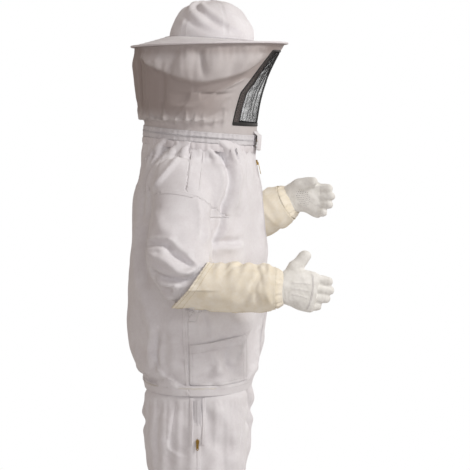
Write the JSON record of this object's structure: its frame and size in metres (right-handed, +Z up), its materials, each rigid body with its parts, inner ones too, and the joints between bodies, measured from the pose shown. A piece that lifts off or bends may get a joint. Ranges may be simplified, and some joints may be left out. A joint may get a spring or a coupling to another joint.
{
  "type": "beekeeping suit",
  "caption": "White cotton beekeeping suit: jacket with a zipped hat-and-veil hood, elasticated trousers and cream gauntlet gloves, shaped as worn with the forearms raised.",
  "frame": {"origin": "centre of the neck zip ring, where the suit hangs on the wearer's shoulders", "axes": "+Z up, the wearer faces -Y, the wearer's left is +X"},
  "size_m": [0.6601, 0.5403, 1.7402],
  "materials": {
    "white_cotton": "matte white poly-cotton twill, creased",
    "white_binding": "white cotton tape, stitched",
    "black_net": "fine black netting and its edge tape",
    "cream_canvas": "unbleached cream cotton canvas",
    "goat_leather": "soft white goat leather, fine grain",
    "elastic": "ribbed woven elastic",
    "spring_steel": "bare spring steel wire",
    "zip_tape": "white zip tape with moulded teeth",
    "zip_metal": "worn brass"
  },
  "bodies": {
    "jacket": {"jacket_back": "white_cotton", "jacket_front_left": "white_cotton", "jacket_front_right": "white_cotton", "sleeve_left": "white_cotton", "sleeve_right": "white_cotton", "cuff_elastic_left": "elastic", "cuff_elastic_right": "elastic", "collar_band": "white_binding", "hem_elastic": "elastic", "hem_facing": "white_cotton", "hip_pocket_left": "white_cotton", "hip_pocket_right": "white_cotton", "neck_zip_tape_lower": "zip_tape", "front_zip_tape_left": "zip_tape", "front_zip_tape_right": "zip_tape"},
    "hood": {"hat_crown": "white_cotton", "hat_sweatband": "white_binding", "hat_brim": "white_cotton", "brim_hoop": "spring_steel", "brim_binding": "white_binding", "veil_panel": "white_cotton", "face_mesh": "black_net", "mesh_binding": "black_net", "veil_neck_elastic": "elastic", "neck_zip_tape_upper": "zip_tape"},
    "flap": {"throat_flap": "white_cotton"},
    "front_slider": {"front_zip_slider": "zip_metal"},
    "front_tab": {"front_zip_pull": "zip_metal"},
    "neck_slider_left": {"neck_zip_slider_left": "zip_metal", "neck_zip_pull_left": "zip_metal"},
    "neck_slider_right": {"neck_zip_slider_right": "zip_metal", "neck_zip_pull_right": "zip_metal"},
    "glove_left": {"glove_hand_left": "goat_leather", "wrist_band_left": "cream_canvas", "gauntlet_left": "cream_canvas", "gauntlet_elastic_left": "elastic"},
    "glove_right": {"glove_hand_right": "goat_leather", "wrist_band_right": "cream_canvas", "gauntlet_right": "cream_canvas", "gauntlet_elastic_right": "elastic"},
    "trousers": {"waistband": "white_cotton", "waist_elastic": "elastic", "trouser_leg_left": "white_cotton", "ankle_elastic_left": "elastic", "side_zip_tape_left": "zip_tape", "side_pocket_left": "white_cotton", "trouser_leg_right": "white_cotton", "ankle_elastic_right": "elastic", "side_zip_tape_right": "zip_tape", "side_pocket_right": "white_cotton"},
    "side_slider_left": {"side_zip_slider_left": "zip_metal"},
    "side_tab_left": {"side_zip_pull_left": "zip_metal"},
    "side_slider_right": {"side_zip_slider_right": "zip_metal"},
    "side_tab_right": {"side_zip_pull_right": "zip_metal"}
  },
  "joints": [
    {"name": "hood_fold", "type": "hinge", "parent": "jacket", "child": "hood", "pos_m": [0, 0.14943, 0.01307], "axis": [-1, 0, 0], "range_deg": [0, 110]},
    {"name": "throat_flap", "type": "hinge", "parent": "hood", "child": "flap", "pos_m": [0, -0.1484, 0.0096], "axis": [-1, 0, 0], "range_deg": [0, 120]},
    {"name": "front_zip", "type": "hinge", "parent": "jacket", "child": "front_slider", "pos_m": [0, 1.107, -0.336], "axis": [1, 0, 0], "range_deg": [0, 24]},
    {"name": "front_tab", "type": "hinge", "parent": "front_slider", "child": "front_tab", "pos_m": [0, -0.14986, -0.0695], "axis": [-1, 0, 0], "range_deg": [0, 150]},
    {"name": "neck_zip_left", "type": "hinge", "parent": "jacket", "child": "neck_slider_left", "pos_m": [0, 0, 0], "axis": [0, -0.0872, 0.9962], "range_deg": [0, 165]},
    {"name": "neck_zip_right", "type": "hinge", "parent": "jacket", "child": "neck_slider_right", "pos_m": [0, 0, 0], "axis": [0, 0.0872, -0.9962], "range_deg": [0, 165]},
    {"name": "glove_off_left", "type": "slide", "parent": "jacket", "child": "glove_left", "axis": [-0.1774, -0.8642, 0.4708], "range_m": [0, 0.3]},
    {"name": "glove_off_right", "type": "slide", "parent": "jacket", "child": "glove_right", "axis": [0.0292, -0.9996, 0], "range_m": [0, 0.3]},
    {"name": "trousers_down", "type": "slide", "parent": "jacket", "child": "trousers", "axis": [0, 0, -1], "range_m": [0, 0.32]},
    {"name": "side_zip_left", "type": "slide", "parent": "trousers", "child": "side_slider_left", "axis": [0, 0, 1], "range_m": [0, 0.088]},
    {"name": "side_tab_left", "type": "hinge", "parent": "side_slider_left", "child": "side_tab_left", "pos_m": [0.1967, -0.01, -0.7595], "axis": [0, -1, 0], "range_deg": [0, 150]},
    {"name": "side_zip_right", "type": "slide", "parent": "trousers", "child": "side_slider_right", "axis": [0, 0, 1], "range_m": [0, 0.088]},
    {"name": "side_tab_right", "type": "hinge", "parent": "side_slider_right", "child": "side_tab_right", "pos_m": [-0.1967, -0.01, -0.7595], "axis": [0, 1, 0], "range_deg": [0, 150]}
  ]
}
